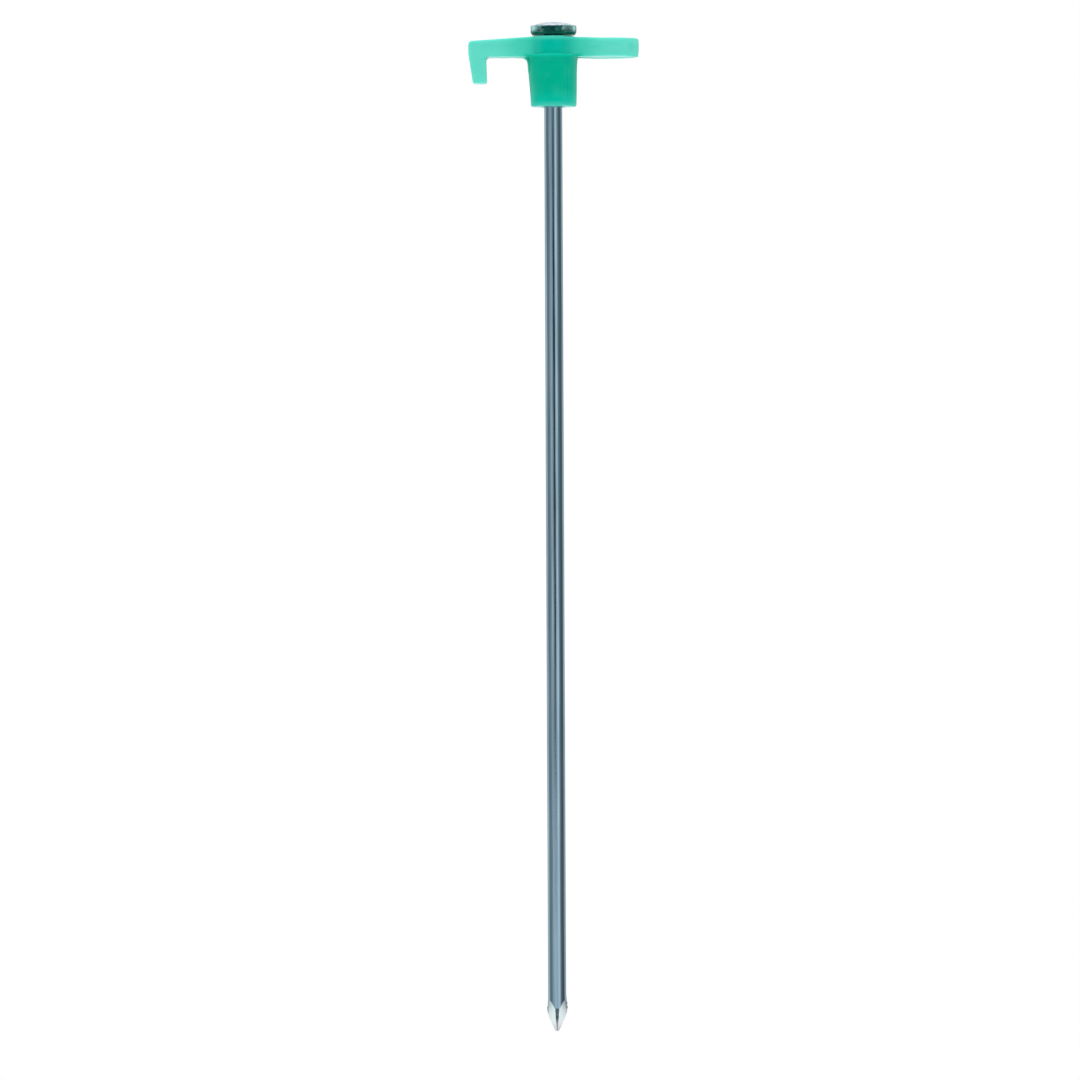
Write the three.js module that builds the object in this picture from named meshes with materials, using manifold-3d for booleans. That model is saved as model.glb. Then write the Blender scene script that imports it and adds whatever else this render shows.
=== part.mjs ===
// Tent stake: a steel nail with a cut point and a forged head, and one loose moulded plastic hook head
// that hangs under the nail's head and turns on the shank.
// Millimetres, +Z up the nail. The origin is the nail's point, on the nail's axis.
// The hook is towards -X and the thumb tab towards +X. The part mirrors across the XZ plane.
import * as THREE from "three";
import { mergeVertices } from "three/addons/utils/BufferGeometryUtils.js";
import Module from "manifold-3d";

const wasm = await Module();
wasm.setup();

// ---------- driving dimensions: the nail ----------
const NAIL_LENGTH = 254; // point to the underside of the head, 10 inches
const SHANK_RADIUS = 2.3;
const HEAD_RADIUS = 6.05;
const HEAD_SEAT_RADIUS = 5.5; // the flat ring under the head that bears on the plastic
const HEAD_UNDERCUT = 0.7; // height of the cone from the seat out to the rim
const HEAD_RIM = 1.8; // height of the rim
const HEAD_DOME = 0.9; // how far the struck top rises above the rim
const STRIKING_RADIUS = 2.4; // the flat in the middle of the top
const POINT_LENGTH = 9.6; // where the cut point has run out into the round shank
const POINT_WIDEST = 8.2; // where its facets stop spreading across X
const POINT_FLASH = 0.36; // how far the pinched metal stands out of the shank on each side
const POINT_RIDGE = 0.83; // where the narrow flat cuts off the ridge between two facets
const NAIL_SEGMENTS = 48;

// ---------- driving dimensions: the hook head ----------
const SEAT_GAP = 0.3; // play between the nail's head and the plastic
const HOLE_RADIUS = 2.65; // loose on the shank
const COLLAR_BOTTOM_RADIUS = 5.75;
const COLLAR_NECK_RADIUS = 6.12; // below the flare
const COLLAR_RIM_RADIUS = 6.5;
const BOSS_RADIUS = 5.8;
const BOSS_TOP_RADIUS = 4.9; // the flat on top, inside its rounded edge
const COLLAR_LENGTH = 13.2; // collar bottom to collar rim
const BOSS_LENGTH = 4.8; // collar rim to the top of the boss
const COLLAR_FLARE = 2.2; // height over which the collar flares out to its rim
const COLLAR_LEAN = 0.2; // the collar's draft is uneven, so its foot sits a little towards the tab
const HOOK_REACH = 21.6; // axis to the end of the hook arm
const TAB_REACH = 21.9; // axis to the end of the thumb tab
const ARM_UNDERSIDE = 248.5;
const TAB_TOP = 253.05;
const HOOK_ARM_TOP = 253.7; // where its slope meets the axis
const HOOK_END_DROP = 1.4; // how far the arm's top falls from there to its end
const TAB_CENTRE = 13.9; // the oval thumb tab, seen from above
const TAB_HALF_WIDTH = 6.4;
const TAB_NECK_HALF_WIDTH = 4.2;
const HOOK_HALF_WIDTH = 3.8;
const TINE_INNER = 17.2; // axis to the inner face of the tine, where it leaves the arm
const TINE_TIP_INNER = 17.0; // the same at the tip: the tine leans in
const TINE_TIP_OUTER = 20.4; // axis to the outer face at the tip
const TINE_TIP_HEIGHT = 241.6;
const GUSSET = 2.2; // reach of the web between the hook arm and the collar
const GUSSET_HALF_WIDTH = 2.2;
const EDGE = 0.4; // rounding on the moulded edges
const COLLAR_SEGMENTS = 48;

// ---------- heights worked out from the driving dimensions ----------
const bossTop = NAIL_LENGTH - SEAT_GAP;
const collarRim = bossTop - BOSS_LENGTH;
const collarBottom = collarRim - COLLAR_LENGTH;

const steel = new THREE.MeshStandardMaterial({
  name: "steel",
  color: 0x8b98a0,
  roughness: 0.35,
  metalness: 1.0,
});
const plastic = new THREE.MeshStandardMaterial({
  name: "hook_plastic",
  color: 0x2fcfa4,
  roughness: 0.45,
  metalness: 0.0,
});

// ---------- solids ----------

// A lathe profile of [radius, height] points, turned about Z.
function turned(profile, segments) {
  const points = profile.map(([radius, height]) => new THREE.Vector2(radius, height));
  return new THREE.LatheGeometry(points, segments).rotateX(Math.PI / 2);
}

// A closed three.js geometry as a manifold-3d solid.
function solid(geometry) {
  const bare = geometry.index ? geometry.toNonIndexed() : geometry.clone();
  bare.deleteAttribute("normal");
  bare.deleteAttribute("uv");
  const merged = mergeVertices(bare, 1e-4);
  return new wasm.Manifold(
    new wasm.Mesh({
      numProp: 3,
      vertProperties: merged.attributes.position.array,
      triVerts: new Uint32Array(merged.index.array),
    }),
  );
}

// A manifold-3d solid as a three.js geometry.
function geometryOf(made) {
  const mesh = made.getMesh();
  const geometry = new THREE.BufferGeometry();
  geometry.setAttribute("position", new THREE.BufferAttribute(mesh.vertProperties, 3));
  geometry.setIndex(new THREE.BufferAttribute(mesh.triVerts, 1));
  geometry.computeVertexNormals();
  return geometry;
}

// An outline in the XZ plane, extruded to both sides of Y = 0 with rounded edges.
function sideProfile(shape, halfWidth) {
  const geometry = new THREE.ExtrudeGeometry(shape, {
    depth: 2 * (halfWidth - EDGE),
    bevelEnabled: true,
    bevelThickness: EDGE,
    bevelSize: EDGE,
    bevelOffset: -EDGE,
    bevelSegments: 2,
    curveSegments: 10,
  });
  return geometry.rotateX(Math.PI / 2).translate(0, halfWidth - EDGE, 0);
}

// An outline in the XY plane, extruded upwards with rounded edges.
function planProfile(shape, bottom, top) {
  const geometry = new THREE.ExtrudeGeometry(shape, {
    depth: top - bottom - 2 * EDGE,
    bevelEnabled: true,
    bevelThickness: EDGE,
    bevelSize: EDGE,
    bevelOffset: -EDGE,
    bevelSegments: 2,
    curveSegments: 20,
  });
  return geometry.translate(0, 0, bottom + EDGE);
}

// ---------- the nail ----------

// Half the width of the cut point across X, where the cutters met and left flash, at a height.
function pointHalfAcross(height) {
  const share = Math.min(height / POINT_WIDEST, 1);
  return 0.3 + (SHANK_RADIUS + POINT_FLASH) * Math.sin((share * Math.PI) / 2);
}

// Half the width of the cut point across Y, where two facets would meet in a ridge.
function pointHalfThrough(height) {
  return 0.2 + 0.45 * height;
}

// The flash: metal squeezed out past the shank's round, to the -X and +X sides only.
function flashAt(height, angle) {
  const share = height / POINT_LENGTH;
  const along = share < 1 ? Math.sin(Math.PI * share) : 0;
  return POINT_FLASH * along * Math.abs(Math.cos(angle)) ** 14;
}

// Pulls the vertices of the shank's end in to the four facets of the cut point.
function cutPoint(geometry) {
  const place = geometry.attributes.position;
  for (let i = 0; i < place.count; i++) {
    const height = place.getZ(i);
    const radius = Math.hypot(place.getX(i), place.getY(i));
    if (height > POINT_LENGTH || radius === 0) continue;
    const angle = Math.atan2(place.getY(i), place.getX(i));
    const across = Math.abs(Math.cos(angle)) / pointHalfAcross(height);
    const through = Math.abs(Math.sin(angle)) / pointHalfThrough(height);
    const facets = 1 / (across + through);
    const ridgeFlat = through > 0 ? POINT_RIDGE / through : Infinity;
    const cut = Math.min(SHANK_RADIUS + flashAt(height, angle), facets, ridgeFlat);
    place.setX(i, cut * Math.cos(angle));
    place.setY(i, cut * Math.sin(angle));
  }
  return geometry;
}

function makeNail() {
  const pointRows = 20;
  const profile = [[0, 0]];
  for (let row = 0; row <= pointRows; row++) {
    profile.push([SHANK_RADIUS, (row / pointRows) * POINT_LENGTH]);
  }
  const rimBottom = NAIL_LENGTH + HEAD_UNDERCUT;
  const rimTop = rimBottom + HEAD_RIM;
  const headTop = rimTop + HEAD_DOME;
  profile.push([SHANK_RADIUS, NAIL_LENGTH]);
  profile.push([HEAD_SEAT_RADIUS, NAIL_LENGTH]);
  profile.push([HEAD_RADIUS - 0.2, rimBottom - 0.15]);
  profile.push([HEAD_RADIUS, rimBottom + 0.2]);
  profile.push([HEAD_RADIUS, rimTop - 0.3]);
  profile.push([HEAD_RADIUS - 0.3, rimTop]);
  const domeSteps = 4;
  for (let step = 1; step < domeSteps; step++) {
    const share = step / domeSteps;
    const radius = THREE.MathUtils.lerp(HEAD_RADIUS - 0.3, STRIKING_RADIUS, share);
    profile.push([radius, rimTop + HEAD_DOME * Math.sin((share * Math.PI) / 2)]);
  }
  profile.push([STRIKING_RADIUS, headTop]);
  profile.push([0, headTop]);
  return new THREE.Mesh(cutPoint(turned(profile, NAIL_SEGMENTS)), steel);
}

// ---------- the hook head, one moulding ----------

function collar() {
  const flareStart = collarRim - COLLAR_FLARE;
  const profile = [
    [0, collarBottom],
    [COLLAR_BOTTOM_RADIUS - EDGE, collarBottom],
    [COLLAR_BOTTOM_RADIUS, collarBottom + EDGE],
    [COLLAR_NECK_RADIUS, flareStart],
  ];
  const flareSteps = 4;
  for (let step = 1; step <= flareSteps; step++) {
    const share = step / flareSteps;
    const out = (COLLAR_RIM_RADIUS - COLLAR_NECK_RADIUS) * share ** 2;
    profile.push([COLLAR_NECK_RADIUS + out, flareStart + (COLLAR_FLARE - 0.2) * share]);
  }
  profile.push([COLLAR_RIM_RADIUS - 0.2, collarRim]);
  profile.push([0, collarRim]);
  const geometry = turned(profile, COLLAR_SEGMENTS);
  const place = geometry.attributes.position;
  for (let i = 0; i < place.count; i++) {
    const down = (collarRim - place.getZ(i)) / COLLAR_LENGTH;
    place.setX(i, place.getX(i) + COLLAR_LEAN * (2 * down - 1));
  }
  return solid(geometry);
}

function boss() {
  const profile = [
    [0, collarRim - 1],
    [BOSS_RADIUS, collarRim - 1],
    [BOSS_RADIUS - 0.2, bossTop - 1],
    [BOSS_TOP_RADIUS + 0.4, bossTop - 0.3],
    [BOSS_TOP_RADIUS, bossTop],
    [0, bossTop],
  ];
  return solid(turned(profile, COLLAR_SEGMENTS));
}

// The oval tab to pull and turn the stake by, with a neck back to the boss.
function thumbTab() {
  const plan = new THREE.Shape();
  const ovalReach = TAB_REACH - TAB_CENTRE;
  plan.moveTo(0, -TAB_NECK_HALF_WIDTH);
  plan.bezierCurveTo(
    ...[TAB_CENTRE - ovalReach, -TAB_NECK_HALF_WIDTH],
    ...[TAB_CENTRE - ovalReach * 0.75, -TAB_HALF_WIDTH],
    ...[TAB_CENTRE, -TAB_HALF_WIDTH],
  );
  plan.absellipse(TAB_CENTRE, 0, ovalReach, TAB_HALF_WIDTH, -Math.PI / 2, Math.PI / 2, false);
  plan.bezierCurveTo(
    ...[TAB_CENTRE - ovalReach * 0.75, TAB_HALF_WIDTH],
    ...[TAB_CENTRE - ovalReach, TAB_NECK_HALF_WIDTH],
    ...[0, TAB_NECK_HALF_WIDTH],
  );
  return solid(planProfile(plan, ARM_UNDERSIDE, TAB_TOP));
}

// The arm towards -X and the tine that turns down from its end.
function hook() {
  const side = new THREE.Shape();
  const endTop = HOOK_ARM_TOP - HOOK_END_DROP;
  side.moveTo(0, HOOK_ARM_TOP);
  side.lineTo(-HOOK_REACH + 1, endTop + 0.1);
  side.quadraticCurveTo(...[-HOOK_REACH, endTop], ...[-HOOK_REACH, endTop - 0.9]);
  side.lineTo(-HOOK_REACH + 0.15, ARM_UNDERSIDE);
  side.lineTo(-TINE_TIP_OUTER, TINE_TIP_HEIGHT + EDGE);
  side.lineTo(-TINE_TIP_OUTER + EDGE, TINE_TIP_HEIGHT);
  side.lineTo(-TINE_TIP_INNER - EDGE, TINE_TIP_HEIGHT);
  side.lineTo(-TINE_TIP_INNER, TINE_TIP_HEIGHT + EDGE);
  side.lineTo(-TINE_INNER, ARM_UNDERSIDE - 0.5);
  side.quadraticCurveTo(...[-TINE_INNER, ARM_UNDERSIDE], ...[-TINE_INNER + 0.5, ARM_UNDERSIDE]);
  side.lineTo(0, ARM_UNDERSIDE);
  return solid(sideProfile(side, HOOK_HALF_WIDTH));
}

// The web in the corner under the hook arm. Its lower end runs out into the collar's side.
function gusset() {
  const side = new THREE.Shape();
  const inside = -HOLE_RADIUS - 1;
  const foot = ARM_UNDERSIDE - 2 * GUSSET;
  side.moveTo(inside, ARM_UNDERSIDE + 1);
  side.lineTo(-COLLAR_RIM_RADIUS - GUSSET, ARM_UNDERSIDE + 1);
  side.lineTo(-COLLAR_RIM_RADIUS - GUSSET, ARM_UNDERSIDE - 0.02);
  side.quadraticCurveTo(
    ...[-COLLAR_NECK_RADIUS - EDGE, ARM_UNDERSIDE - 0.02],
    ...[-COLLAR_NECK_RADIUS - EDGE / 2, ARM_UNDERSIDE - GUSSET],
  );
  side.lineTo(-COLLAR_BOTTOM_RADIUS + 0.5, foot);
  side.lineTo(inside, foot);
  return solid(sideProfile(side, GUSSET_HALF_WIDTH));
}

function makeHookHead() {
  const hole = turned(
    [
      [0, collarBottom - 1],
      [HOLE_RADIUS, collarBottom - 1],
      [HOLE_RADIUS, bossTop + 1],
      [0, bossTop + 1],
    ],
    COLLAR_SEGMENTS,
  );
  const pieces = [boss(), thumbTab(), hook(), gusset()];
  const whole = pieces.reduce((joined, piece) => joined.add(piece), collar());
  const moulding = whole.subtract(solid(hole));
  return new THREE.Mesh(geometryOf(moulding), plastic);
}

// ---------- the assembly ----------

const stake = new THREE.Group();

const nail = makeNail();
nail.name = "steel_nail";
stake.add(nail);

const hookHead = makeHookHead();
hookHead.name = "hook_head";
stake.add(hookHead);

export default stake;
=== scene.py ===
"""Looks of a tent stake: a bright steel nail and a loose moulded plastic hook head.

Lengths in the constants are millimetres in the CAD frame: +Z up the nail, the nail's point at the
origin, the hook towards -X and the thumb tab towards +X. Meshes are made in millimetres and scaled.
"""

import math

import bpy
import numpy as np
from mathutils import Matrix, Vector


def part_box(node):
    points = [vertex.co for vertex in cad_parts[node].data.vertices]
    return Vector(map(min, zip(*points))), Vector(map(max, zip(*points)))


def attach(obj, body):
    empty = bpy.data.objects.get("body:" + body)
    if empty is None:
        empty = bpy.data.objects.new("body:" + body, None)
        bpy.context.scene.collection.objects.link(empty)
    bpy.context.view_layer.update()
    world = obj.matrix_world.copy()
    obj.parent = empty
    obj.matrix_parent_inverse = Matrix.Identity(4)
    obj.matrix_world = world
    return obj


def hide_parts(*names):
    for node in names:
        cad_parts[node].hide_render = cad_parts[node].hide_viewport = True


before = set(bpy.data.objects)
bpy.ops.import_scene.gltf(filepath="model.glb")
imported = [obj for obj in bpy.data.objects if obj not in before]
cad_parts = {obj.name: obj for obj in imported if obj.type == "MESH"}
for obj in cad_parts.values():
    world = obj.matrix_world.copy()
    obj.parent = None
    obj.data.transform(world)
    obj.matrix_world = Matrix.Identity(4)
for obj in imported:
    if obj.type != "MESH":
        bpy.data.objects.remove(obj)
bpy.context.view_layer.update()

MM = 0.001

# ---------------------------------------------------------------- sizes taken from the CAD nodes
nail_low, nail_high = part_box("steel_nail")
hook_low, hook_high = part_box("hook_head")
NAIL_TOP = nail_high.z / MM
HOOK_BOTTOM = hook_low.z / MM
HOOK_TOP = hook_high.z / MM
HOOK_REACH = -hook_low.x / MM
TAB_REACH = hook_high.x / MM

# ---------------------------------------------------------------- the nail
HEAD_SEAT = 254.0
SHANK_RADIUS = 2.3
HEAD_RADIUS = 5.84
HEAD_RIM_TOP = 256.4
HEAD_OFF_CENTRE = 0.16
POINT_LENGTH = 8.2
POINT_FLASH = 0.34
POINT_RIDGE = 0.8

# ---------------------------------------------------------------- the hook head
BORE_RADIUS = 2.65
COLLAR_RIM = 248.9
COLLAR_NECK = 245.6
COLLAR_NECK_RADIUS = 6.2
COLLAR_TAPER = 0.045
COLLAR_FLARE = 0.14
BOSS_RADIUS = 5.83
ARM_UNDERSIDE = 248.5
TAB_TOP = 253.08
TAB_UNDERSIDE = 248.3
TAB_RIM_DEPTH = 0.15
TAB_CENTRE = 13.9
TAB_HALF_WIDTH = 6.4
TAB_NECK_HALF_WIDTH = 4.2
HOOK_HALF_WIDTH = 3.8
GUSSET_HALF_WIDTH = 2.2
HOOK_ARM_TOP = 253.86
HOOK_END_TOP = 252.46
HOOK_UNDERSIDE = 248.28
TINE_INNER = 17.05
TINE_TIP_INNER = 16.84
TINE_TIP = 241.6
DRAFT = 0.02
NET_STEP = 0.18


# ================================================================ distance fields
def smooth_min(a, b, k):
    h = np.maximum(k - np.abs(a - b), 0.0) / k
    return np.minimum(a, b) - h * h * h * k / 6.0


def smooth_max(a, b, k):
    return -smooth_min(-a, -b, k)


def smooth_step(low, high, value):
    t = np.clip((value - low) / (high - low), 0.0, 1.0)
    return t * t * (3.0 - 2.0 * t)


def rounded_both(a, b, radius):
    """Two half spaces met at a rounded edge."""
    a, b = a + radius, b + radius
    outside = np.hypot(np.maximum(a, 0.0), np.maximum(b, 0.0))
    return np.minimum(np.maximum(a, b), 0.0) + outside - radius


def rounded_outline(corners, steps=6):
    """Points round a closed outline of (x, z, radius) corners."""
    points = []
    count = len(corners)
    for i, (x, z, radius) in enumerate(corners):
        here = np.array([x, z])
        before = np.array(corners[i - 1][:2]) - here
        after = np.array(corners[(i + 1) % count][:2]) - here
        if radius == 0:
            points.append(here)
            continue
        before /= np.linalg.norm(before)
        after /= np.linalg.norm(after)
        half = math.acos(float(np.clip(before @ after, -1, 1))) / 2
        reach = radius / math.tan(half)
        start, end = here + before * reach, here + after * reach
        centre = here + (before + after) / np.linalg.norm(before + after) * (radius / math.sin(half))
        for step in range(steps + 1):
            chord = start + (end - start) * step / steps
            spoke = chord - centre
            points.append(centre + spoke / np.linalg.norm(spoke) * radius)
    return np.array(points)


def polygon_distance(px, pz, points):
    nearest = np.full(px.shape, 1e9)
    inside = np.zeros(px.shape, bool)
    for (ax, az), (bx, bz) in zip(points, np.roll(points, -1, axis=0)):
        ex, ez = bx - ax, bz - az
        length = ex * ex + ez * ez
        if length < 1e-12:
            continue
        wx, wz = px - ax, pz - az
        t = np.clip((wx * ex + wz * ez) / length, 0.0, 1.0)
        nearest = np.minimum(nearest, (wx - t * ex) ** 2 + (wz - t * ez) ** 2)
        if ez != 0:
            crosses = (az > pz) != (bz > pz)
            inside ^= crosses & (px < ex * wz / ez + ax)
    return np.where(inside, -1.0, 1.0) * np.sqrt(nearest)


# ================================================================ the hook head's shape
HOOK_OUTLINE = rounded_outline(
    [
        (0.0, HOOK_ARM_TOP, 0),
        (-HOOK_REACH, HOOK_END_TOP, 1.0),
        (-HOOK_REACH + 0.06, 249.2, 5.0),
        (-20.38, TINE_TIP, 0.8),
        (-TINE_TIP_INNER, TINE_TIP, 0.7),
        (-TINE_INNER, HOOK_UNDERSIDE, 0.8),
        (0.0, HOOK_UNDERSIDE, 0),
    ]
)
GUSSET_OUTLINE = rounded_outline(
    [
        (-9.4, ARM_UNDERSIDE + 1.0, 0),
        (-9.2, HOOK_UNDERSIDE + 0.05, 0),
        (-6.5, HOOK_UNDERSIDE + 0.02, 2.0),
        (-6.1, HOOK_UNDERSIDE - 3.6, 0),
        (-4.0, HOOK_UNDERSIDE - 4.2, 0),
        (-4.0, ARM_UNDERSIDE + 1.0, 0),
    ]
)
# each mark's x, y and radius
MOULD_MARKS = ((14.2, 0.0, 1.9), (-12.4, 0.0, 1.5))
MOULD_MARK_DEPTH = 0.07
PARTING_LINE_HEIGHT = 0.035
SINK_DEPTH = 0.05


def collar_field(x, y, z):
    """The tapering sleeve. Its foot sits a little towards the tab, and its top flares out to a ledge."""
    lean = 0.13 - 0.24 * smooth_step(237.0, 246.0, z)
    flare = np.clip((z - 246.2) / 2.2, 0.0, 1.0) ** 1.6
    radius = COLLAR_NECK_RADIUS - COLLAR_TAPER * (COLLAR_NECK - z) + COLLAR_FLARE * flare
    side = np.hypot(x - lean, y) - radius
    body = rounded_both(side, HOOK_BOTTOM + 0.03 * np.sin(x * 0.9 + y) - z, 0.48)
    return rounded_both(body, z - COLLAR_RIM, 0.14)


def boss_field(x, y, z):
    up = np.clip((z - COLLAR_RIM) / (HOOK_TOP - COLLAR_RIM), 0.0, 1.0)
    side = np.hypot(x, y) - (BOSS_RADIUS - 0.12 * up)
    return np.maximum(rounded_both(side, z - HOOK_TOP, 0.8), COLLAR_RIM - 2.0 - z)


def tab_field(x, y, z):
    reach = TAB_REACH - TAB_CENTRE
    px, py = (x - TAB_CENTRE) / reach, y / TAB_HALF_WIDTH
    k0 = np.hypot(px, py) + 1e-6
    k1 = np.hypot(px / reach, py / TAB_HALF_WIDTH) + 1e-6
    oval = k0 * (k0 - 1.0) / k1
    neck = np.maximum(np.abs(y) - TAB_NECK_HALF_WIDTH, np.maximum(-x, x - TAB_CENTRE))
    crown = 0.22 * ((z - 250.9) / 2.3) ** 2
    plan = smooth_min(oval, neck, 3.4) + crown
    rise = 0.3 * (1.0 - smooth_step(6.0, 13.0, x))
    top = z - TAB_TOP - rise + DRAFT * np.abs(y)
    slab = rounded_both(plan, top, 0.5)
    pan = TAB_RIM_DEPTH * smooth_step(-0.55, -0.95, plan)
    return rounded_both(slab, TAB_UNDERSIDE + pan - z, 0.12)


def hook_field(x, y, z):
    side = polygon_distance(x, z, HOOK_OUTLINE) + DRAFT * np.abs(y)
    return rounded_both(side, np.abs(y) - HOOK_HALF_WIDTH, 0.48)


def gusset_field(x, y, z):
    side = polygon_distance(x, z, GUSSET_OUTLINE)
    return rounded_both(side, np.abs(y) - GUSSET_HALF_WIDTH, 0.6)


def mould_marks(x, y, z):
    """Depth of the shallow round marks that the ejector pins left under the arms."""
    depth = np.zeros(np.broadcast(x, y, z).shape)
    near = smooth_step(ARM_UNDERSIDE + 1.2, ARM_UNDERSIDE + 0.4, z)
    for centre_x, centre_y, radius in MOULD_MARKS:
        away = np.hypot(x - centre_x, y - centre_y)
        depth = depth + MOULD_MARK_DEPTH * near * smooth_step(radius + 0.12, radius - 0.12, away)
    return depth


def witness_line(x, y, z):
    """Height of the fine raised line down the collar where a mould insert met the cavity."""
    along = smooth_step(237.0, 238.5, z) * smooth_step(248.2, 247.2, z)
    return 0.05 * along * np.exp(-(((x - 3.85) / 0.13) ** 2)) * (y < 0)


def moulding_field(x, y, z):
    """Signed distance, near enough, to the hook head's surface."""
    arms = smooth_min(tab_field(x, y, z), hook_field(x, y, z), 0.5)
    hub = smooth_min(boss_field(x, y, z), collar_field(x, y, z), 0.35)
    whole = smooth_min(hub, arms, 0.7)
    whole = smooth_min(whole, gusset_field(x, y, z), 0.8)
    # the mould halves met on the plane y = 0 and left a fine raised line
    whole = whole - PARTING_LINE_HEIGHT * np.exp(-((y / 0.11) ** 2))
    whole = whole - witness_line(x, y, z) + mould_marks(x, y, z)
    # thick sections have sunk a little where they cooled last
    sink = np.exp(-(((np.abs(x) - 8.2) / 2.6) ** 2) - ((z - 250.9) / 1.6) ** 2)
    whole = whole + SINK_DEPTH * sink
    bore = BORE_RADIUS - np.hypot(x, y)
    mouth = np.minimum(z - HOOK_BOTTOM, HOOK_TOP - z)
    bore = bore + 0.3 * np.exp(-((np.maximum(mouth, 0.0) / 0.3) ** 2))
    return smooth_max(whole, bore, 0.12)


# ================================================================ meshing
def grid_lines(low, high, step, fine=None):
    """Grid coordinates from low to high, closer together around 0 where fine is given."""
    if fine is None:
        return np.linspace(low, high, int(round((high - low) / step)) + 1)
    inner = np.arange(-4, 5) * fine
    outer = np.linspace(inner[-1], high, int(round((high - inner[-1]) / step)) + 1)[1:]
    return np.concatenate([-outer[::-1], inner, outer])


def surface_net(field, lines):
    """A closed quad mesh round field < 0 on a grid whose coordinates are lines = (xs, ys, zs)."""
    inside = field < 0
    cells = tuple(n - 1 for n in field.shape)
    total = np.zeros(cells + (3,), np.float32)
    hits = np.zeros(cells, np.float32)
    corner_lines = [line.astype(np.float32) for line in lines]
    for axis in range(3):
        others = [a for a in range(3) if a != axis]
        for shift_a in (0, 1):
            for shift_b in (0, 1):
                start = [slice(0, n) for n in cells]
                start[others[0]] = slice(shift_a, cells[others[0]] + shift_a)
                start[others[1]] = slice(shift_b, cells[others[1]] + shift_b)
                end = list(start)
                end[axis] = slice(1, cells[axis] + 1)
                f0, f1 = field[tuple(start)], field[tuple(end)]
                cut = inside[tuple(start)] != inside[tuple(end)]
                where = np.nonzero(cut)
                share = f0[where] / (f0[where] - f1[where])
                place = np.empty((len(share), 3), np.float32)
                for a in range(3):
                    first = corner_lines[a][where[a] + (start[a].start or 0)]
                    place[:, a] = first
                    if a == axis:
                        place[:, a] += share * (corner_lines[a][where[a] + 1] - first)
                np.add.at(total, where, place)
                np.add.at(hits, where, 1.0)
    active = hits > 0
    number = np.full(cells, -1, np.int64)
    number[active] = np.arange(int(active.sum()))
    vertices = total[active] / hits[active][:, None]
    quads = []
    for axis in range(3):
        b, c = (axis + 1) % 3, (axis + 2) % 3
        start = [slice(1, n) for n in cells]
        start[axis] = slice(0, cells[axis])
        end = list(start)
        end[axis] = slice(1, cells[axis] + 1)
        low, high = inside[tuple(start)], inside[tuple(end)]
        where = np.array(np.nonzero(low != high))
        for a in (b, c):
            where[a] += 1
        ring = []
        for step_b, step_c in ((-1, -1), (0, -1), (0, 0), (-1, 0)):
            at = where.copy()
            at[b] += step_b
            at[c] += step_c
            ring.append(number[tuple(at)])
        ring = np.array(ring).T
        outward = inside[tuple(where)]
        quads.append(np.where(outward[:, None], ring, ring[:, ::-1]))
    return vertices.astype(float), np.concatenate(quads)


def snap(points, field, rounds):
    """Newton steps that bring points onto field = 0."""
    e = 0.01
    for _ in range(rounds):
        x, y, z = points.T
        value = field(x, y, z)
        slope = np.array(
            [
                field(x + e, y, z) - field(x - e, y, z),
                field(x, y + e, z) - field(x, y - e, z),
                field(x, y, z + e) - field(x, y, z - e),
            ]
        ).T / (2 * e)
        size = np.maximum((slope**2).sum(1), 0.2)
        step = np.clip(value / size, -0.2, 0.2)[:, None] * slope
        points = points - step
    return points


def relax(points, quads, rounds):
    """Evens out the quads by moving each point towards its neighbours' middle."""
    edges = np.concatenate([quads[:, [0, 1]], quads[:, [1, 2]], quads[:, [2, 3]], quads[:, [3, 0]]])
    for _ in range(rounds):
        total = np.zeros_like(points)
        count = np.zeros(len(points))
        for a, b in ((0, 1), (1, 0)):
            np.add.at(total, edges[:, a], points[edges[:, b]])
            np.add.at(count, edges[:, a], 1.0)
        points = points + 0.5 * (total / count[:, None] - points)
    return points


def mesh_object(name, points, faces, materials, material_of=None):
    mesh = bpy.data.meshes.new(name)
    mesh.from_pydata((points * MM).tolist(), [], faces if isinstance(faces, list) else faces.tolist())
    for material in materials:
        mesh.materials.append(material)
    if material_of is not None:
        mesh.polygons.foreach_set("material_index", material_of)
    mesh.polygons.foreach_set("use_smooth", [True] * len(mesh.polygons))
    mesh.validate()
    mesh.update()
    made = bpy.data.objects.new(name, mesh)
    bpy.context.scene.collection.objects.link(made)
    return made


def make_hook_head(material):
    margin = 0.6
    lines = (
        grid_lines(-HOOK_REACH - margin, TAB_REACH + margin, NET_STEP),
        grid_lines(hook_low.y / MM - margin, hook_high.y / MM + margin, NET_STEP, fine=0.055),
        grid_lines(HOOK_BOTTOM - margin, HOOK_TOP + margin, NET_STEP),
    )
    x, y, z = np.meshgrid(*lines, indexing="ij")
    field = moulding_field(x, y, z)
    points, quads = surface_net(field, lines)
    points = snap(points, moulding_field, 2)
    points = relax(points, quads, 1)
    points = snap(points, moulding_field, 3)
    points = np.clip(points, np.array(hook_low) / MM, np.array(hook_high) / MM)
    return mesh_object("moulded_hook_head", points, quads, [material])


# ================================================================ the nail's shape
# the nail's materials, by their place in its list
WIRE, FACET, RIDGE, FORGED = range(4)


def wobble(angle, seed, terms=5):
    """A smooth closed wave round the nail, between about -1 and 1."""
    rng = np.random.default_rng(seed)
    wave = np.zeros_like(angle)
    for term in range(1, terms + 1):
        wave += rng.normal() / term * np.cos(term * angle + rng.uniform(0, 2 * math.pi))
    return wave / 1.6


def point_across(height):
    share = np.minimum(height / POINT_LENGTH, 1.0)
    return 0.42 + 2.53 * np.sin(share * math.pi / 2)


def point_through(height):
    return 0.2 + 0.455 * height


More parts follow.
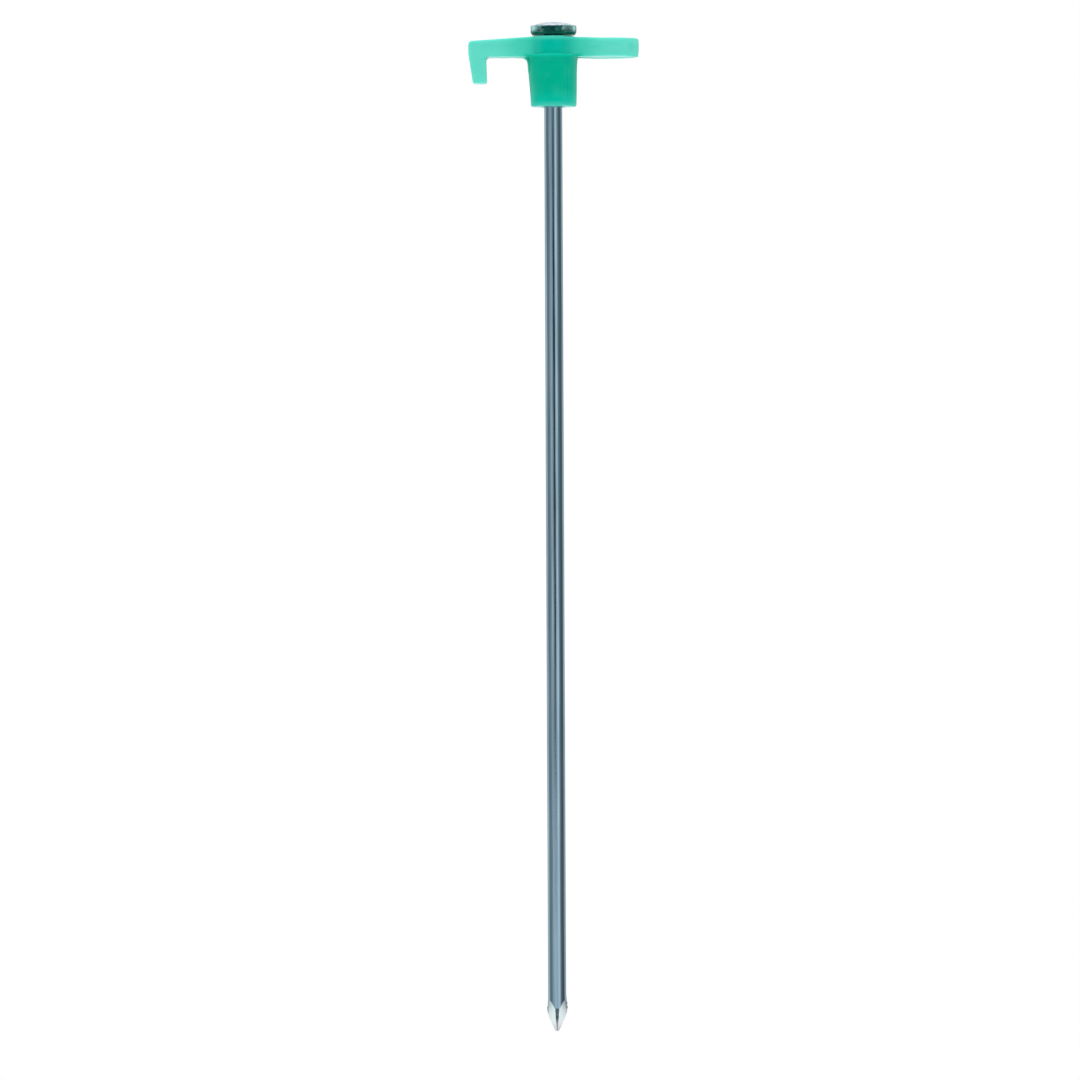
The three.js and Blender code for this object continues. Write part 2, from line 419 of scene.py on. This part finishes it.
def point_cut(height, angle):
    """Radius of the cut point's four facets, and of the narrow flats that take off their front ridges."""
    across = np.abs(np.cos(angle)) / point_across(height)
    through = np.abs(np.sin(angle)) / point_through(height)
    return 1.0 / (across + through), POINT_RIDGE / np.maximum(through, 1e-6)


def flash(height, angle):
    """Metal squeezed out past the round where the two cutters met, lower on one side than the other."""
    left = np.cos(angle) < 0
    centre = np.where(left, 4.9, 6.3)
    along = np.exp(-(((height - centre) / 1.9) ** 2))
    ragged = 1.0 + 0.22 * np.sin(height * 5.3 + 1.0) + 0.12 * np.sin(height * 11.0)
    return POINT_FLASH * along * ragged * np.abs(np.cos(angle)) ** 22


def nail_profile():
    """Rings from the point to the middle of the head as (height, radius, kind)."""
    rings = [(h, SHANK_RADIUS, "point") for h in np.linspace(0.0, POINT_LENGTH + 1.4, 170)[1:]]
    rings += [(h, SHANK_RADIUS, "shank") for h in np.linspace(POINT_LENGTH + 3.0, 230.0, 90)]
    rings += [(h, SHANK_RADIUS, "shank") for h in np.linspace(232.0, 253.5, 24)]
    for turn in np.linspace(0.0, math.pi / 2, 5)[1:]:
        fillet = 0.3 * (1 - math.cos(turn))
        rings.append((HEAD_SEAT - 0.3 + 0.3 * math.sin(turn), SHANK_RADIUS + fillet, "shank"))
    rings += [(HEAD_SEAT, r, "head") for r in np.linspace(2.9, 5.3, 8)]
    low, high = HEAD_SEAT + 0.7, HEAD_RIM_TOP
    rings += [(HEAD_SEAT + 0.02, 5.45, "head"), (HEAD_SEAT + 0.1, 5.53, "head")]
    for share in np.linspace(0.15, 0.85, 5):
        rings.append((HEAD_SEAT + 0.1 + 0.46 * share, 5.53 + 0.22 * share, "head"))
    for turn in np.linspace(0.0, 1.0, 6):
        rings.append((low - 0.22 + 0.3 * turn, HEAD_RADIUS - 0.1 * (1 - turn) ** 2, "head"))
    rings += [(h, HEAD_RADIUS, "head") for h in np.linspace(low + 0.2, high - 0.35, 9)]
    edge = HEAD_RADIUS - 0.34
    for turn in np.linspace(0.0, math.pi / 2, 8)[1:]:
        rings.append((high - 0.3 + 0.3 * math.sin(turn), edge + 0.34 * math.cos(turn), "head"))
    for share in np.linspace(0.0, 1.0, 36)[1:-1]:
        radius = edge * (1 - share)
        rise = (NAIL_TOP - high) * (1 - (radius / edge) ** 2.0)
        rings.append((high + rise, radius, "top"))
    return rings


def ring_at(height, radius, kind, angle):
    """One ring of the nail as x, y, z, and which of its points are on a facet or on a ridge flat."""
    reach = np.full(len(angle), float(radius))
    rise = np.full(len(angle), float(height))
    facet, ridge = np.zeros(len(angle), bool), np.zeros(len(angle), bool)
    if kind == "point":
        body = SHANK_RADIUS + flash(height, angle)
        facets, ridges = point_cut(height, angle)
        reach = smooth_min(smooth_min(body, facets, 0.05), ridges, 0.03)
        facet = (facets < body + 0.01) & (facets <= ridges)
        ridge = (ridges < body + 0.01) & ~facet
    if kind in ("head", "top"):
        out = smooth_step(2.6, HEAD_RADIUS, radius)
        lumps = wobble(angle, 7) + 0.5 * wobble(angle * 3.0, 9)
        reach = reach * (1 + 0.006 * out * lumps)
        rise = rise + 0.04 * out * wobble(angle, 11, 3) * smooth_step(HEAD_SEAT, HEAD_SEAT + 1.5, height)
    x, y = reach * np.cos(angle), reach * np.sin(angle)
    if kind == "top":
        facing = 0.5 * np.sin(x * 2.1 + 0.7) * np.cos(y * 1.7 + x) + 0.3 * np.sin(x * 4.3 - y * 3.1)
        rise = rise - 0.07 * (1 + facing) * smooth_step(0.0, 1.2, radius)
    x = x + HEAD_OFF_CENTRE * smooth_step(SHANK_RADIUS, 5.0, radius)
    return np.stack([x, y, rise], 1), facet, ridge


def make_nail(wire, facet_steel, ridge_steel, head_steel):
    segments = 168
    angle = np.linspace(0.0, 2 * math.pi, segments, endpoint=False)
    profile = nail_profile()
    rings = [ring_at(*ring, angle) for ring in profile]
    kinds = [ring[2] for ring in profile]
    count = len(rings)
    ends = np.array([[0.0, 0.0, 0.0], [HEAD_OFF_CENTRE / 2, 0.0, NAIL_TOP]])
    vertices = np.concatenate([ring[0] for ring in rings] + [ends])
    vertices[:, 2] = np.clip(vertices[:, 2], 0.0, NAIL_TOP)
    faces, material_of = [], []
    for row in range(count - 1):
        _, facet, ridge = rings[row]
        base = FORGED if kinds[row + 1] in ("head", "top") else WIRE
        for i in range(segments):
            j = (i + 1) % segments
            low, high = row * segments, (row + 1) * segments
            faces.append((low + i, low + j, high + j, high + i))
            is_ridge = ridge[i] and ridge[j]
            is_facet = facet[i] or facet[j]
            material_of.append(RIDGE if is_ridge else FACET if is_facet else base)
    tip, top = count * segments, count * segments + 1
    last = (count - 1) * segments
    for i in range(segments):
        j = (i + 1) % segments
        faces.append((tip, j, i))
        material_of.append(RIDGE)
        faces.append((top, last + i, last + j))
        material_of.append(FORGED)
    steels = [wire, facet_steel, ridge_steel, head_steel]
    return mesh_object("bright_steel_nail", vertices, faces, steels, material_of)


# ================================================================ materials
def new_material(name):
    material = bpy.data.materials.new(name)
    material.use_nodes = True
    tree = material.node_tree
    return material, tree, tree.nodes["Principled BSDF"]


def link(tree, source, target):
    tree.links.new(source, target)


def math_node(tree, operation, *values):
    node = tree.nodes.new("ShaderNodeMath")
    node.operation = operation
    for socket, value in zip(node.inputs, values):
        if isinstance(value, (int, float)):
            socket.default_value = value
        else:
            link(tree, value, socket)
    return node.outputs[0]


def map_range(tree, value, low, high, to_low=0.0, to_high=1.0):
    node = tree.nodes.new("ShaderNodeMapRange")
    node.interpolation_type = "SMOOTHSTEP"
    link(tree, value, node.inputs["Value"])
    for name, number in (("From Min", low), ("From Max", high), ("To Min", to_low), ("To Max", to_high)):
        node.inputs[name].default_value = number
    return node.outputs["Result"]


def mix_colour(tree, factor, a, b):
    node = tree.nodes.new("ShaderNodeMix")
    node.data_type = "RGBA"
    sockets = [s for s in node.inputs if s.type == "RGBA"]
    link(tree, factor, node.inputs[0])
    for socket, value in zip(sockets, (a, b)):
        if isinstance(value, tuple):
            socket.default_value = (*value, 1.0)
        else:
            link(tree, value, socket)
    return next(s for s in node.outputs if s.type == "RGBA")


def object_coordinates(tree):
    """The object's own coordinates, in metres, as a vector and as x, y and z."""
    coordinates = tree.nodes.new("ShaderNodeTexCoord").outputs["Object"]
    split = tree.nodes.new("ShaderNodeSeparateXYZ")
    link(tree, coordinates, split.inputs[0])
    return coordinates, split.outputs[0], split.outputs[1], split.outputs[2]


def noise(tree, coordinates, scale, detail=3.0, roughness=0.5, stretch=(1.0, 1.0, 1.0)):
    """Noise with features about 1 / scale metres across."""
    mapping = tree.nodes.new("ShaderNodeMapping")
    mapping.inputs["Scale"].default_value = stretch
    link(tree, coordinates, mapping.inputs["Vector"])
    node = tree.nodes.new("ShaderNodeTexNoise")
    node.inputs["Scale"].default_value = scale
    node.inputs["Detail"].default_value = detail
    node.inputs["Roughness"].default_value = roughness
    link(tree, mapping.outputs[0], node.inputs["Vector"])
    return node.outputs["Fac"]


def bump(tree, height, distance, strength=1.0, under=None):
    node = tree.nodes.new("ShaderNodeBump")
    node.inputs["Distance"].default_value = distance
    node.inputs["Strength"].default_value = strength
    link(tree, height, node.inputs["Height"])
    if under is not None:
        link(tree, under, node.inputs["Normal"])
    return node.outputs["Normal"]


def srgb(red, green, blue):
    """A colour given as it shows on screen, from 0 to 255, as linear values."""
    def linear(value):
        value /= 255.0
        return value / 12.92 if value <= 0.04045 else ((value + 0.055) / 1.055) ** 2.4

    return linear(red), linear(green), linear(blue)


PLASTIC_ARM = srgb(76, 211, 188)
PLASTIC_END = srgb(108, 223, 205)
PLASTIC_BOSS = srgb(0, 188, 165)
PLASTIC_COLLAR = srgb(0, 180, 148)
# colours of painted light on the collar's foot, its bottom rim and its top ledge
PLASTIC_PAINTED_LIGHT = srgb(6, 194, 168)
PLASTIC_PAINTED_LIGHT_RIM = srgb(66, 200, 182)
PLASTIC_CLOUD = srgb(110, 226, 205)


def make_plastic():
    """Translucent mint plastic: deepest round the nail, partly the thick plastic's own tint and partly
    painted shade where the dark nail shows through, paler out along the arms.
    """
    material, tree, shader = new_material("mint_plastic")
    place, x, y, z = object_coordinates(tree)
    off_axis = math_node(tree, "ABSOLUTE", x)
    # partly the plastic's own deeper tint where it is thick, partly painted shade where the dark nail shows
    # through; paler towards the boss's sides and out along the arms
    to_arm = map_range(tree, off_axis, 2.2 * MM, 8.0 * MM)
    upper = mix_colour(tree, to_arm, PLASTIC_BOSS, PLASTIC_ARM)
    upper = mix_colour(tree, map_range(tree, off_axis, 6.5 * MM, 15.0 * MM), upper, PLASTIC_END)
    # painted light from below: the collar grows paler towards its foot, palest at the bottom rim
    foot_painted_light = map_range(tree, z, 240.5 * MM, 236.9 * MM)
    lower = mix_colour(tree, foot_painted_light, PLASTIC_COLLAR, PLASTIC_PAINTED_LIGHT)
    lower = mix_colour(tree, map_range(tree, z, 237.2 * MM, 235.9 * MM), lower, PLASTIC_PAINTED_LIGHT_RIM)
    # painted highlight: a paler band along the collar's top ledge
    ledge = map_range(tree, z, 247.8 * MM, 248.7 * MM, 0.0, 0.8)
    lower = mix_colour(tree, ledge, lower, PLASTIC_PAINTED_LIGHT)
    # painted highlight: paler along the top edges of the boss and arms
    edge = map_range(tree, z, 252.1 * MM, 253.5 * MM, 0.0, 0.5)
    upper = mix_colour(tree, edge, upper, PLASTIC_END)
    above = map_range(tree, z, 248.5 * MM, 249.3 * MM)
    reach = map_range(tree, off_axis, 6.3 * MM, 8.0 * MM)
    is_upper = math_node(tree, "MAXIMUM", above, reach)
    colour = mix_colour(tree, is_upper, lower, upper)
    cloud = noise(tree, place, 230.0, 4.0, 0.6)
    colour = mix_colour(tree, map_range(tree, cloud, 0.4, 0.75, 0.0, 0.08), colour, PLASTIC_CLOUD)
    flow = noise(tree, place, 520.0, 3.0, 0.5, (0.25, 1.0, 1.0))
    colour = mix_colour(tree, map_range(tree, flow, 0.45, 0.75, 0.0, 0.16), colour, PLASTIC_BOSS)
    link(tree, colour, shader.inputs["Base Color"])
    grain = noise(tree, place, 5200.0, 2.0, 0.5)
    rough = map_range(tree, noise(tree, place, 420.0, 3.0), 0.3, 0.7, 0.3, 0.42)
    facing = tree.nodes.new("ShaderNodeSeparateXYZ")
    link(tree, tree.nodes.new("ShaderNodeTexCoord").outputs["Normal"], facing.inputs[0])
    underneath = map_range(tree, facing.outputs[2], -0.75, -0.95)
    polish = math_node(tree, "MULTIPLY_ADD", underneath, -0.22, rough)
    link(tree, polish, shader.inputs["Roughness"])
    waves = bump(tree, noise(tree, place, 330.0, 2.0), 0.00012, 0.25)
    link(tree, bump(tree, grain, 0.00002, 0.3, waves), shader.inputs["Normal"])
    shader.inputs["Specular IOR Level"].default_value = 0.5
    shader.inputs["Specular Tint"].default_value = (0.02, 0.55, 0.4, 1.0)
    shader.inputs["Sheen Weight"].default_value = 0.3
    shader.inputs["Sheen Roughness"].default_value = 0.4
    shader.inputs["Sheen Tint"].default_value = (0.08, 1.0, 0.85, 1.0)
    shader.inputs["Subsurface Weight"].default_value = 0.7
    shader.inputs["Subsurface Radius"].default_value = (0.3, 1.0, 0.8)
    shader.inputs["Subsurface Scale"].default_value = 0.0016
    return material


def make_wire():
    """Bright drawn wire: long fine marks along the shank."""
    material, tree, shader = new_material("drawn_steel")
    place, _, _, _ = object_coordinates(tree)
    streaks = noise(tree, place, 2600.0, 4.0, 0.6, (1.0, 1.0, 0.012))
    broad = noise(tree, place, 600.0, 3.0, 0.5, (1.0, 1.0, 0.045))
    mottled = noise(tree, place, 190.0, 4.0, 0.6, (1.0, 1.0, 0.5))
    shade = mix_colour(tree, map_range(tree, streaks, 0.3, 0.7), (0.3, 0.46, 0.56), (0.5, 0.68, 0.78))
    shade = mix_colour(tree, map_range(tree, broad, 0.4, 0.7, 0.0, 0.4), shade, (0.28, 0.42, 0.5))
    shade = mix_colour(tree, map_range(tree, mottled, 0.5, 0.8, 0.0, 0.2), shade, (0.6, 0.72, 0.78))
    link(tree, shade, shader.inputs["Base Color"])
    link(tree, map_range(tree, streaks, 0.25, 0.75, 0.05, 0.13), shader.inputs["Roughness"])
    drawn = bump(tree, streaks, 0.00003, 0.3)
    link(tree, bump(tree, broad, 0.00012, 0.3, drawn), shader.inputs["Normal"])
    shader.inputs["Metallic"].default_value = 1.0
    return material


def make_facet_steel():
    """The facets of the cut point, sheared bright, with marks running down them."""
    material, tree, shader = new_material("facet_steel")
    place, x, _, z = object_coordinates(tree)
    marks = noise(tree, place, 1500.0, 4.0, 0.6, (1.0, 1.0, 0.12))
    shade = mix_colour(tree, map_range(tree, marks, 0.3, 0.7), (0.72, 0.9, 0.94), (0.96, 1.0, 1.0))
    dirt_and_edge_shade_noise = noise(tree, place, 900.0, 3.0)
    # darker along the facets' outer edges: partly the flash's own dark burr marks, partly painted edge shade,
    # broken up by noise
    burr_and_edge_shade = map_range(tree, math_node(tree, "ABSOLUTE", x), 2.1 * MM, 2.45 * MM)
    burr_and_edge_shade = math_node(tree, "MULTIPLY", burr_and_edge_shade, map_range(tree, dirt_and_edge_shade_noise, 0.42, 0.58, 0.1, 0.85))
    shade = mix_colour(tree, burr_and_edge_shade, shade, (0.26, 0.36, 0.39))
    low = map_range(tree, z, 2.6 * MM, 0.0)
    tarnish = math_node(tree, "MULTIPLY", low, map_range(tree, dirt_and_edge_shade_noise, 0.3, 0.7, 0.45, 1.0))
    shade = mix_colour(tree, tarnish, shade, (0.58, 0.55, 0.57))
    link(tree, shade, shader.inputs["Base Color"])
    link(tree, map_range(tree, marks, 0.25, 0.75, 0.22, 0.4), shader.inputs["Roughness"])
    link(tree, bump(tree, marks, 0.00005, 0.4), shader.inputs["Normal"])
    shader.inputs["Metallic"].default_value = 1.0
    return material


def make_ridge_steel():
    """The narrow flats between the facets, where the cutters missed, coloured dark as a painted dark
    reflection.
    """
    material, tree, shader = new_material("ridge_steel")
    place, _, _, z = object_coordinates(tree)
    scale = noise(tree, place, 1900.0, 4.0, 0.6, (1.0, 1.0, 0.3))
    # painted dark reflection on the flats, mottled by noise
    shade = mix_colour(tree, map_range(tree, scale, 0.3, 0.7), (0.05, 0.1, 0.11), (0.17, 0.27, 0.29))
    shade = mix_colour(tree, map_range(tree, z, 3.2 * MM, 1.8 * MM), shade, (0.5, 0.46, 0.47))
    link(tree, shade, shader.inputs["Base Color"])
    link(tree, map_range(tree, scale, 0.25, 0.75, 0.35, 0.5), shader.inputs["Roughness"])
    link(tree, bump(tree, scale, 0.00005, 0.4), shader.inputs["Normal"])
    shader.inputs["Metallic"].default_value = 1.0
    return material


def make_head_steel():
    """The forged head: a bright struck top, and round the side painted reflections, dark green from the
    plastic with 3 pale lobes.
    """
    material, tree, shader = new_material("forged_steel")
    place, x, y, z = object_coordinates(tree)
    dents = noise(tree, place, 520.0, 4.0, 0.65)
    scratches = noise(tree, place, 1700.0, 3.0, 0.5, (1.0, 0.08, 1.0))
    # painted reflection round the head's side: dark green where it mirrors the plastic, pale in three lobes
    # broken up by noise where it mirrors the bright room
    turn = math_node(tree, "ARCTAN2", y, x)
    reflection_lobes = math_node(tree, "SINE", math_node(tree, "MULTIPLY", turn, -3.0))
    ragged = noise(tree, place, 430.0, 5.0, 0.65)
    painted_reflection_patches = map_range(tree, math_node(tree, "MULTIPLY_ADD", reflection_lobes, 0.2, ragged), 0.44, 0.62)
    side = mix_colour(tree, painted_reflection_patches, (0.015, 0.11, 0.1), (0.52, 1.0, 0.92))
    # painted shade and painted dark green reflection of the plastic on the lower cone of the head
    low = map_range(tree, z, 255.6 * MM, 254.3 * MM)
    side = mix_colour(tree, low, side, (0.008, 0.11, 0.08))
    struck = mix_colour(tree, map_range(tree, dents, 0.35, 0.65), (0.42, 0.49, 0.55), (0.76, 0.82, 0.88))
    border = math_node(tree, "MULTIPLY_ADD", noise(tree, place, 700.0, 4.0, 0.6), 1.6 * MM, z)
    on_top = map_range(tree, border, 256.8 * MM, 257.12 * MM)
    link(tree, mix_colour(tree, on_top, side, struck), shader.inputs["Base Color"])
    link(tree, map_range(tree, dents, 0.25, 0.75, 0.18, 0.36), shader.inputs["Roughness"])
    pits = bump(tree, dents, 0.00007, 0.35)
    link(tree, bump(tree, scratches, 0.00003, 0.25, pits), shader.inputs["Normal"])
    shader.inputs["Metallic"].default_value = 1.0
    return material


# ================================================================ floor, light and camera
# how bright the room is at each bearing from the front, in degrees towards the tab: (bearing, level)
STUDIO_RING = (
    (-180, 1.0),
    (-170, 0.7),
    (-158, 0.22),
    (-146, 0.5),
    (-132, 0.85),
    (-116, 0.72),
    (-95, 0.27),
    (-75, 0.26),
    (-60, 0.36),
    (-47, 0.5),
    (-35, 0.62),
    (-22, 0.42),
    (-12, 0.34),
    (0, 0.3),
    (10, 0.46),
    (22, 0.92),
    (34, 0.86),
    (47, 0.4),
    (60, 0.22),
    (75, 0.15),
    (95, 0.14),
    (112, 0.34),
    (128, 0.8),
    (142, 0.55),
    (154, 0.16),
    (168, 0.6),
    (180, 1.0),
)


def make_world():
    """A white room. Shiny surfaces see darker and lighter stretches of its wall, and not the floor."""
    world = bpy.data.worlds.new("studio")
    world.use_nodes = True
    bpy.context.scene.world = world
    tree = world.node_tree
    background = tree.nodes["Background"]
    direction = tree.nodes.new("ShaderNodeTexCoord").outputs["Generated"]
    split = tree.nodes.new("ShaderNodeSeparateXYZ")
    link(tree, direction, split.inputs[0])
    x, y, z = split.outputs
    turn = math_node(tree, "ARCTAN2", x, math_node(tree, "MULTIPLY", y, -1.0))
    share = math_node(tree, "MULTIPLY_ADD", turn, 0.5 / math.pi, 0.5)
    ramp = tree.nodes.new("ShaderNodeValToRGB")
    ramp.color_ramp.interpolation = "EASE"
    stops = ramp.color_ramp.elements
    while len(stops) < len(STUDIO_RING):
        stops.new(0.5)
    for stop, (degrees, level) in zip(stops, STUDIO_RING):
        stop.position = (degrees + 180) / 360
        stop.color = (level * 0.95, level, level * 1.04, 1.0)
    link(tree, share, ramp.inputs[0])
    # a narrow dark gap in the front wall, which the shank shows as the dark streak down its middle
    off_middle = math_node(tree, "ABSOLUTE", math_node(tree, "ADD", turn, math.radians(4)))
    middle = map_range(tree, off_middle, math.radians(14), math.radians(8.5))
    slot_low = map_range(tree, z, -0.032, -0.014)
    slot_high = map_range(tree, z, 0.064, 0.05)
    slot = math_node(tree, "MULTIPLY", middle, math_node(tree, "MULTIPLY", slot_low, slot_high))
    wall = mix_colour(tree, slot, ramp.outputs[0], (0.02, 0.035, 0.04))
    # a light low on the front wall, which takes the streak's place near the point
    front = map_range(tree, off_middle, math.radians(34), math.radians(16))
    glow = math_node(tree, "MULTIPLY", front, map_range(tree, z, -0.022, -0.055))
    wall = mix_colour(tree, glow, wall, (0.72, 0.75, 0.78))
    ceiling = map_range(tree, z, 0.45, 0.8)
    room = mix_colour(tree, ceiling, wall, (1.0, 1.03, 1.06))
    # white panels low down on both flanks, which light the facets of the point
    bearing = math_node(tree, "ABSOLUTE", turn)
    flank = map_range(tree, bearing, math.radians(38), math.radians(60))
    flank = math_node(tree, "MULTIPLY", flank, map_range(tree, bearing, math.radians(142), math.radians(120)))
    low_panel = math_node(tree, "MULTIPLY", flank, map_range(tree, z, -0.26, -0.36))
    room = mix_colour(tree, low_panel, room, (1.0, 1.0, 1.0))
    path = tree.nodes.new("ShaderNodeLightPath").outputs
    soft = mix_colour(tree, map_range(tree, z, -1.0, 1.0), (0.78, 0.78, 0.78), (0.9, 0.9, 0.9))
    lit = mix_colour(tree, path["Is Diffuse Ray"], room, soft)
    seen = mix_colour(tree, path["Is Camera Ray"], lit, (1.0, 1.0, 1.0))
    link(tree, seen, background.inputs["Color"])


def area_light(name, location, target, size, watts):
    data = bpy.data.lights.new(name, "AREA")
    data.shape = "RECTANGLE"
    data.size, data.size_y = size
    data.energy = watts
    lamp = bpy.data.objects.new(name, data)
    lamp.location = location
    aim = [t - p for t, p in zip(target, location)]
    lamp.rotation_mode = "QUATERNION"
    lamp.rotation_quaternion = Vector(aim).to_track_quat("-Z", "Y")
    bpy.context.scene.collection.objects.link(lamp)


def make_floor():
    segments, radius, drop = 96, 6.0, -2.0
    ring = [
        (radius * math.cos(2 * math.pi * i / segments), radius * math.sin(2 * math.pi * i / segments), drop)
        for i in range(segments)
    ]
    mesh = bpy.data.meshes.new("floor")
    mesh.from_pydata(ring, [], [tuple(range(segments))])
    floor = bpy.data.objects.new("floor", mesh)
    bpy.context.scene.collection.objects.link(floor)
    material, tree, shader = new_material("pale_floor")
    place, _, _, _ = object_coordinates(tree)
    paper = mix_colour(tree, noise(tree, place, 3.0, 3.0), (0.9, 0.9, 0.9), (0.94, 0.94, 0.94))
    link(tree, paper, shader.inputs["Base Color"])
    shader.inputs["Roughness"].default_value = 0.9
    shader.inputs["Emission Color"].default_value = (1.0, 1.0, 1.0, 1.0)
    shader.inputs["Emission Strength"].default_value = 0.25
    mesh.materials.append(material)
    floor.visible_glossy = False


def make_camera():
    data = bpy.data.cameras.new("camera")
    data.sensor_width = 36.0
    data.lens = 248.3
    data.clip_start, data.clip_end = 0.05, 60.0
    camera = bpy.data.objects.new("camera", data)
    camera.location = (-0.00386, -1.9, 0.12525)
    camera.rotation_euler = (math.pi / 2, math.radians(0.256), 0.0)
    bpy.context.scene.collection.objects.link(camera)
    bpy.context.scene.camera = camera


# ================================================================ the scene
bpy.context.scene.view_settings.view_transform = "Standard"
make_camera()
make_world()
make_floor()
area_light("top_softbox", (0.0, -0.5, 1.5), (0.0, 0.0, 0.2), (1.4, 1.4), 6.0)

hook_head = make_hook_head(make_plastic())
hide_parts("hook_head")
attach(hook_head, "hook")

nail = make_nail(make_wire(), make_facet_steel(), make_ridge_steel(), make_head_steel())
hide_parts("steel_nail")
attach(nail, "nail")
